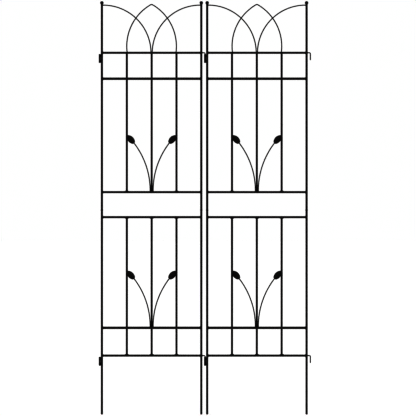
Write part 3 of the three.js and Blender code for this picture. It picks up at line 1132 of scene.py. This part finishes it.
# %% Weld shapes
BEAD_SIDES = 8
SADDLE_SEGMENTS = 28
SADDLE_RADIUS = 1.9 * MM
BEAD_CREASE = 60
RIPPLE = 1.6 * MM
RIPPLE_SHARE = 0.12
FEWEST_RINGS = 5
RUN_OUT = 0.06                       # share of a run that is cut off its tapering ends
COLLAR_STEPS = 16
COLLAR_BORE = 0.9                    # share of the rod's radius
COLLAR_ROOT = 0.4                    # share of the height that is sunk in
COLLAR_SLOPE = ((0.72, 0.22), (0.34, 0.5), (0.08, 1))     # shares of the width and the height


def saddle_bead(node, post_x, toward):
    """A ring round the rail, laid on the post's surface. toward is the side the rail leaves on."""
    start_clean()
    rail = middle(node)
    bpy.ops.mesh.primitive_torus_add(major_radius=half_size(node).z, minor_radius=SADDLE_RADIUS,
                                     major_segments=SADDLE_SEGMENTS, minor_segments=BEAD_SIDES,
                                     location=(post_x, rail.y, rail.z),
                                     rotation=(0, math.radians(90), 0))
    bead = begin_edit("saddle_bead")
    bpy.ops.object.mode_set(mode="OBJECT")
    shallowest = AXIS_STOP / POST_RADIUS

    def depth(point):
        across = min(abs(point.y - FRAME_Y) / POST_RADIUS, 1)
        return max(math.sqrt(1 - across ** 2), shallowest)

    push(bead, "X", toward * POST_RADIUS, depth)
    return close_up(BEAD_CREASE)


def run_bead(length, radius):
    """A bead along X about the origin, rippled as the arc moved on, with both ends run out."""
    rings = max(FEWEST_RINGS, round(length / RIPPLE) * 2)
    shares = []
    for ring in range(rings + 1):
        swell = math.sqrt(math.sin(math.pi * (RUN_OUT + (1 - 2 * RUN_OUT) * ring / rings)))
        shares.append(swell * (1 - RIPPLE_SHARE * (ring % 2)))
    start_clean()
    bpy.ops.mesh.primitive_circle_add(vertices=BEAD_SIDES, radius=radius * shares[0], fill_type="NGON",
                                      location=(-length / 2, 0, 0), rotation=(0, math.radians(90), 0))
    begin_edit("run_bead")
    bpy.ops.mesh.select_all(action="SELECT")
    for before, share in zip(shares, shares[1:]):
        step = (length / rings, 0, 0)
        bpy.ops.mesh.extrude_region_move(TRANSFORM_OT_translate={"value": step})
        bpy.ops.transform.resize(value=(1, share / before, share / before))
    return close_up(BEAD_CREASE)


def collar_bead(rod_radius, width, height):
    """A fillet that stands on the plane Z = 0 round an upright rod on the Z axis."""
    bore = rod_radius * COLLAR_BORE
    root = -COLLAR_ROOT * height
    profile = [(bore, root), (rod_radius + width, root), (rod_radius + width, 0)]
    profile += [(rod_radius + width * out, height * up) for out, up in COLLAR_SLOPE]
    profile += [(bore, height), (bore, root)]
    return turned("collar_bead", 0, 0, profile, COLLAR_STEPS)


print("weld shapes ready")

# %% [markdown]
# ### Laying welds
# A group of welds is laid by copying a bead to each of its places on the first panel, joining the
# copies, and then copying the joined group to the second panel. Each group rides on its section.

# %% Laying welds
def lay_welds(section, kind, beads):
    """beads holds pairs of a template and where it goes on the first panel."""
    copies = [copy_piece(template, "bead", move) for template, move in beads]
    start_clean()
    for copy in copies:
        copy.select_set(True)
    bpy.context.view_layer.objects.active = copies[0]
    bpy.ops.object.join()
    group = bpy.context.object
    for panel in PANELS:
        body = f"{panel}_{section}"
        shift = shift_between(f"{PANEL}_{section}_bar_left", f"{body}_bar_left")
        piece = copy_piece(group, f"{body}_{kind}_welds", shift)
        hand_over(piece, body, "weld_coat")
    print(f"{section} {kind} welds: {len(beads)} beads, {len(group.data.polygons)} faces")
    bpy.data.objects.remove(group)


def forget(*templates):
    for template in templates:
        bpy.data.objects.remove(template)


print("ready to lay welds on", len(PANELS) * len(SECTIONS), "sections")

# %% [markdown]
# ### Rail welds
# Each rail end has a saddle right round it. The four kinds are thin or thick rail, left or right post.

# %% Rail welds
def rail_welds():
    alike = {"rail_top": ("rail_top", "rail_bottom"), "rail_main": ("rail_main",)}
    saddles = []
    for post_x, toward in ((LEFT_POST_X, 1), (RIGHT_POST_X, -1)):
        for kind in alike:
            saddles.append((saddle_bead(f"{UPPER}_{kind}", post_x, toward), kind))
    for section in SECTIONS:
        beads = []
        for saddle, kind in saddles:
            for rail in alike[kind]:
                move = shift_between(f"{UPPER}_{kind}", f"{PANEL}_{section}_{rail}")
                beads.append((saddle, move))
        lay_welds(section, "rail", beads)
    forget(*[saddle for saddle, kind in saddles])


rail_welds()

# %% [markdown]
# ### Bar welds
# Where a bar passes behind a rail, a short run lies in the corner above the rail and another below it.
# The bars' feet on the bottom rail, and the heads of the lower section's bars, carry the load. So their
# runs are longer and fuller, and they spread a little on each side of the bar.

# %% Bar welds
BAR_BEAD_LENGTH = 2 * BAR_RADIUS + 2.2 * MM
BAR_BEAD_RADIUS = 1.7 * MM
FULL_BEAD_LENGTH = 2 * BAR_RADIUS + 8.0 * MM
FULL_BEAD_RADIUS = 2.6 * MM
CORNER_SHARE = 0.5                   # of a bead's radius that stands proud of the bar's front


def corner_place(rail_node, bead_radius):
    """Y of a bead in the corner of rail and bar, and its height from the rail's middle."""
    rail = middle(rail_node)
    rail_radius = half_size(rail_node).z
    y = BAR_Y - BAR_RADIUS - CORNER_SHARE * bead_radius
    reach = rail_radius + CORNER_SHARE * bead_radius
    return y, math.sqrt(reach ** 2 - (y - rail.y) ** 2)


def bar_welds():
    short = run_bead(BAR_BEAD_LENGTH, BAR_BEAD_RADIUS)
    full = run_bead(FULL_BEAD_LENGTH, FULL_BEAD_RADIUS)
    for section in SECTIONS:
        beads = []
        for bar in BARS:
            x = middle(f"{PANEL}_{section}_bar_{bar}").x
            for rail in ("rail_top", "rail_main", "rail_bottom"):
                node = f"{PANEL}_{section}_{rail}"
                z = middle(node).z
                y, rise = corner_place(node, BAR_BEAD_RADIUS)
                full_y, full_rise = corner_place(node, FULL_BEAD_RADIUS)
                if rail == "rail_bottom":
                    beads.append((full, at(x, full_y, z + full_rise)))
                elif rail == "rail_top" and section == "lower":
                    beads.append((full, at(x, full_y, z - full_rise)))
                else:
                    beads.append((short, at(x, y, z - rise)))
                if rail == "rail_main":
                    beads.append((short, at(x, y, z + rise)))
        lay_welds(section, "bar", beads)
    forget(short, full)


bar_welds()

# %% [markdown]
# ### Wire welds
# The arcs and the pointed arch stand on the top rail in small puddles of weld, and each arc has
# another where it meets the post. Where the arch crosses an arc the two wires are tacked together. The
# ball finials are welded round the neck.

# %% Wire welds
COLLAR_WIDTH = 1.7 * MM
COLLAR_HEIGHT = 2.6 * MM
NECK_WIDTH = 1.1 * MM
NECK_HEIGHT = 1.6 * MM
NECK_SINK = 0.2                      # share of the height
TACK_LENGTH = 5.5 * MM
TACK_RADIUS = 1.5 * MM


def crossing(centre_a, centre_b, radius_a, radius_b):
    """The upper point where two upright circles cross, seen from the front."""
    between = centre_b - centre_a
    between.y = 0
    distance = between.length
    along = (distance ** 2 + radius_a ** 2 - radius_b ** 2) / (2 * distance)
    rise = math.sqrt(radius_a ** 2 - along ** 2)
    unit = between / distance
    upright = Vector((-unit.z, 0, unit.x))
    if upright.z < 0:
        upright.negate()
    return centre_a + unit * along + upright * rise


def wire_welds():
    collar = collar_bead(WIRE_RADIUS, COLLAR_WIDTH, COLLAR_HEIGHT)
    neck = collar_bead(POST_RADIUS, NECK_WIDTH, NECK_HEIGHT)
    tack = run_bead(TACK_LENGTH, TACK_RADIUS)
    beads = []
    arch_radius, offset, spring_z, rise = arch_shape()
    arch_y = middle(f"{UPPER}_pointed_arch").y
    for side, toward in SIDES.items():
        for foot in (arc_foot(side), arch_foot(side)):
            beads.append((collar, at(foot.x, foot.y, foot.z + SINK / 2)))
        centre, radius = arc_shape(side)
        wall_x = middle(f"{UPPER}_post_{side}").x - toward * (POST_RADIUS - SINK / 2)
        facing = turned_about("Y", -90 * toward)
        beads.append((collar, at(wall_x, centre.y, centre.z + radius, facing)))
        arch_centre = Vector((PANEL_X - toward * offset, arch_y, spring_z))
        cross = crossing(arch_centre, centre, arch_radius, radius)
        slope = math.degrees(math.atan2(cross.z - centre.z, cross.x - centre.x)) - 90
        between_y = (centre.y + arch_y) / 2
        beads.append((tack, at(cross.x, between_y, cross.z, turned_about("Y", -slope))))
        finial = f"{UPPER}_finial_{side}"
        ball_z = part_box(finial)[1].z - BALL_RADIUS
        seat_z = ball_z - math.sqrt(BALL_RADIUS ** 2 - POST_RADIUS ** 2) - NECK_HEIGHT * NECK_SINK
        flip = turned_about("X", 180)
        beads.append((neck, at(middle(finial).x, middle(finial).y, seat_z, flip)))
    lay_welds("upper", "wire", beads)
    forget(collar, neck, tack)


wire_welds()

# %% [markdown]
# ### Leaf welds
# A stem is run to the middle bar at its foot and tacked again higher up. The blade is tacked to the
# midrib wire behind it, and its tip to the outer bar, so that the leaf doesn't catch on a sleeve.

# %% Leaf welds
STEM_RUN = 9 * MM
STEM_RUN_RADIUS = 1.35 * MM
STEM_RUN_HEIGHTS = (9 * MM, 24 * MM)
LEAF_TACK_RADIUS = 1.2 * MM
BLADE_TACKS = (0.1, 0.45)            # shares of the leaf's length
BLADE_TACK_SPREAD = 0.75             # of the wire's radius, to either side
TIP_TACK = 0.97


def leaf_welds():
    run = run_bead(STEM_RUN, STEM_RUN_RADIUS)
    tack = run_bead(TACK_LENGTH, LEAF_TACK_RADIUS)
    upright = turned_about("Y", 90)
    front_y = BAR_Y - BAR_RADIUS
    upper_beads = []
    for side, toward in SIDES.items():
        foot = stem_foot(side)
        across = Vector((foot.x - PANEL_X, foot.y - BAR_Y, 0)).normalized()
        front = Vector((across.y * toward, -across.x * toward, 0))
        groove = Vector((PANEL_X, BAR_Y, 0)) + across * BAR_RADIUS + front * STEM_RUN_RADIUS
        for height in STEM_RUN_HEIGHTS:
            upper_beads.append((run, at(groove.x, groove.y, foot.z + height, upright)))
        base = leaf_base(side)
        lean = turned_about("Y", toward * LEAF_LEAN)
        spread = BLADE_TACK_SPREAD * WIRE_RADIUS
        places = [(hand * spread, share) for share in BLADE_TACKS for hand in (-1, 1)]
        for out, share in (*places, (0, TIP_TACK)):
            place = base + lean @ Vector((out, 0, share * LEAF_LENGTH))
            upper_beads.append((tack, at(place.x, front_y, place.z, lean @ upright)))
    for section in SECTIONS:
        shift = shift_between(f"{UPPER}_leaf_stem_left", f"{PANEL}_{section}_leaf_stem_left")
        lay_welds(section, "leaf", [(bead, shift @ move) for bead, move in upper_beads])
    forget(run, tack)


leaf_welds()

# %% [markdown]
# ### Hinge welds
# A hook's rod has a collar where it leaves the post. A sleeve lies along its post, and four upright
# runs hold it: two at the front and two at the back of the groove between the tubes.

# %% Hinge welds
SLEEVE_RUN = 9.5 * MM
SLEEVE_RUN_RADIUS = 1.7 * MM
SLEEVE_RUN_SPREAD = 1.5              # radii to the front and to the back
SLEEVE_RUN_INSET = 7.5 * MM          # from the sleeve's end to the middle of a run


def hinge_welds():
    collar = collar_bead(WIRE_RADIUS, COLLAR_WIDTH, COLLAR_HEIGHT)
    run = run_bead(SLEEVE_RUN, SLEEVE_RUN_RADIUS)
    upright = turned_about("Y", 90)
    for section in SECTIONS:
        body = f"{PANEL}_{section}"
        arm_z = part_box(f"{body}_hook")[1].z - WIRE_RADIUS
        wall_x = RIGHT_POST_X + POST_RADIUS - SINK / 2
        beads = [(collar, at(wall_x, FRAME_Y, arm_z, upright))]
        low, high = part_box(f"{body}_sleeve")
        groove_x = (LEFT_POST_X - POST_RADIUS + high.x) / 2
        for face in (-1, 1):
            y = FRAME_Y + face * SLEEVE_RUN_RADIUS * SLEEVE_RUN_SPREAD
            for z in (low.z + SLEEVE_RUN_INSET, high.z - SLEEVE_RUN_INSET):
                beads.append((run, at(groove_x, y, z, upright)))
        lay_welds(section, "hinge", beads)
    forget(collar, run)


hinge_welds()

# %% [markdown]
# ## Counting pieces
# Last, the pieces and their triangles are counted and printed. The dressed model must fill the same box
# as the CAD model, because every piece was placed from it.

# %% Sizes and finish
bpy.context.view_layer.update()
triangles = sum(len(face.vertices) - 2 for piece in made_pieces for face in piece.data.polygons)
print(len(made_pieces), "pieces,", triangles, "triangles")
